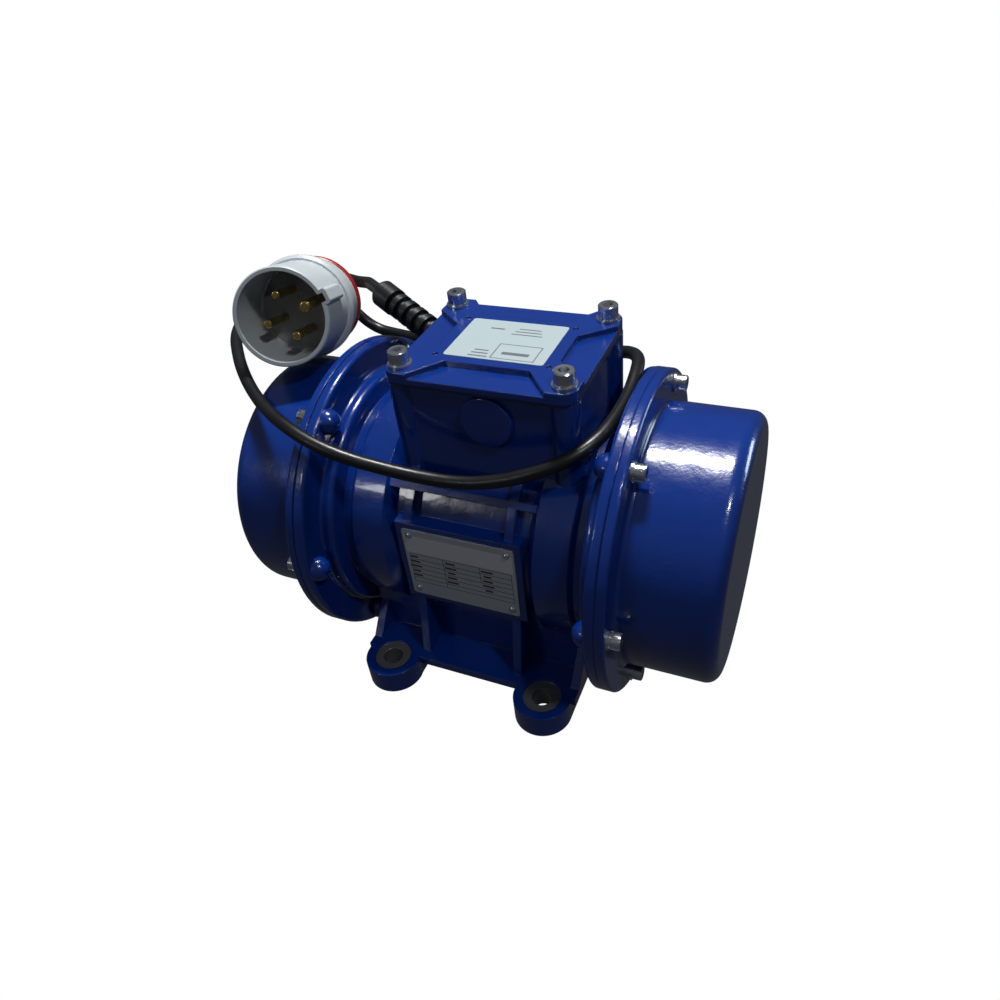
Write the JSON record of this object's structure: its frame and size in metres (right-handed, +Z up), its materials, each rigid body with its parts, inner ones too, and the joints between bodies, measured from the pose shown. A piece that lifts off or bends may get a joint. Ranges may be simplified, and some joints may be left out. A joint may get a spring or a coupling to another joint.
{
  "type": "vibration motor",
  "caption": "Foot-mounted electric vibration motor with eccentric weights under end covers, a terminal box, a flexible lead and an industrial plug.",
  "frame": {"origin": "on the mounting surface, under the middle of the shaft", "axes": "+X along the shaft, +Y to the back, away from the rating plate, +Z up"},
  "size_m": [0.3994, 0.2341, 0.2662],
  "materials": {
    "blue_paint": "gloss enamel over a cast surface",
    "plate_metal": "satin",
    "zinc_steel": "zinc plated, bright",
    "core_steel": "laminated sheet",
    "copper_wire": "varnished winding",
    "cast_alloy": "as cast",
    "shaft_steel": "ground",
    "bearing_steel": "polished",
    "cage_brass": "machined",
    "carrier_iron": "machined casting",
    "weight_iron": "sawn plate",
    "seal_rubber": "matt",
    "label_film": "plain film",
    "board_black": "moulded",
    "brass": "bright",
    "black_rubber": "satin",
    "plug_grey": "satin moulded",
    "plug_red": "moulded",
    "insert_grey": "moulded"
  },
  "bodies": {
    "frame": {"housing": "blue_paint", "terminal_lid": "blue_paint", "left_cover": "blue_paint", "right_cover": "blue_paint", "rating_plate": "plate_metal", "plate_rivets": "zinc_steel", "cover_screws": "zinc_steel", "lid_screws": "zinc_steel", "cover_washers": "zinc_steel", "lid_washers": "zinc_steel", "stator_core": "core_steel", "stator_winding": "copper_wire", "carrier_screws": "shaft_steel", "left_bearing_outer_ring": "bearing_steel", "right_bearing_outer_ring": "bearing_steel", "left_bearing_carrier": "carrier_iron", "right_bearing_carrier": "carrier_iron", "left_bearing_cap": "carrier_iron", "right_bearing_cap": "carrier_iron", "lid_gasket": "seal_rubber", "left_cover_seal": "seal_rubber", "right_cover_seal": "seal_rubber", "lid_label": "label_film", "terminal_board": "board_black", "terminal_studs": "brass", "terminal_links": "brass", "terminal_nuts": "brass", "plug_earth_pin": "brass", "plug_phase_pins": "brass", "strain_relief": "black_rubber", "cord": "black_rubber", "plug_shroud": "plug_grey", "plug_body": "plug_grey", "plug_cap": "plug_grey", "plug_ring": "plug_red", "plug_insert": "insert_grey"},
    "rotor": {"shaft": "shaft_steel", "rotor_core": "core_steel", "rotor_cage": "cast_alloy", "weight_keys": "shaft_steel", "left_bearing_inner_ring": "bearing_steel", "right_bearing_inner_ring": "bearing_steel", "left_bearing_sleeve": "shaft_steel", "right_bearing_sleeve": "shaft_steel", "left_fixed_weight": "weight_iron", "right_fixed_weight": "weight_iron", "left_setting_disc": "shaft_steel", "right_setting_disc": "shaft_steel", "left_retaining_ring": "shaft_steel", "right_retaining_ring": "shaft_steel"},
    "left_roller_set": {"left_bearing_rollers": "bearing_steel", "left_bearing_cage": "cage_brass"},
    "left_outer_weight": {"left_adjustable_weight": "weight_iron", "left_clamp_screw": "shaft_steel"},
    "right_roller_set": {"right_bearing_rollers": "bearing_steel", "right_bearing_cage": "cage_brass"},
    "right_outer_weight": {"right_adjustable_weight": "weight_iron", "right_clamp_screw": "shaft_steel"}
  },
  "joints": [
    {"name": "rotor_spin", "type": "hinge", "parent": "frame", "child": "rotor", "pos_m": [0, 0, 0.0995], "axis": [1, 0, 0], "continuous": true},
    {"name": "left_roller_spin", "type": "hinge", "parent": "frame", "child": "left_roller_set", "pos_m": [0, 0, 0.0995], "axis": [1, 0, 0], "continuous": true},
    {"name": "right_roller_spin", "type": "hinge", "parent": "frame", "child": "right_roller_set", "pos_m": [0, 0, 0.0995], "axis": [1, 0, 0], "continuous": true},
    {"name": "left_weight_setting", "type": "hinge", "parent": "rotor", "child": "left_outer_weight", "pos_m": [0, 0, 0.0995], "axis": [1, 0, 0], "range_deg": [0, 180]},
    {"name": "right_weight_setting", "type": "hinge", "parent": "rotor", "child": "right_outer_weight", "pos_m": [0, 0, 0.0995], "axis": [1, 0, 0], "range_deg": [0, 180]}
  ],
  "couplings": [
    {"joint": "left_roller_spin", "follows": "rotor_spin", "ratio": 0.40385},
    {"joint": "right_roller_spin", "follows": "rotor_spin", "ratio": 0.40385}
  ]
}
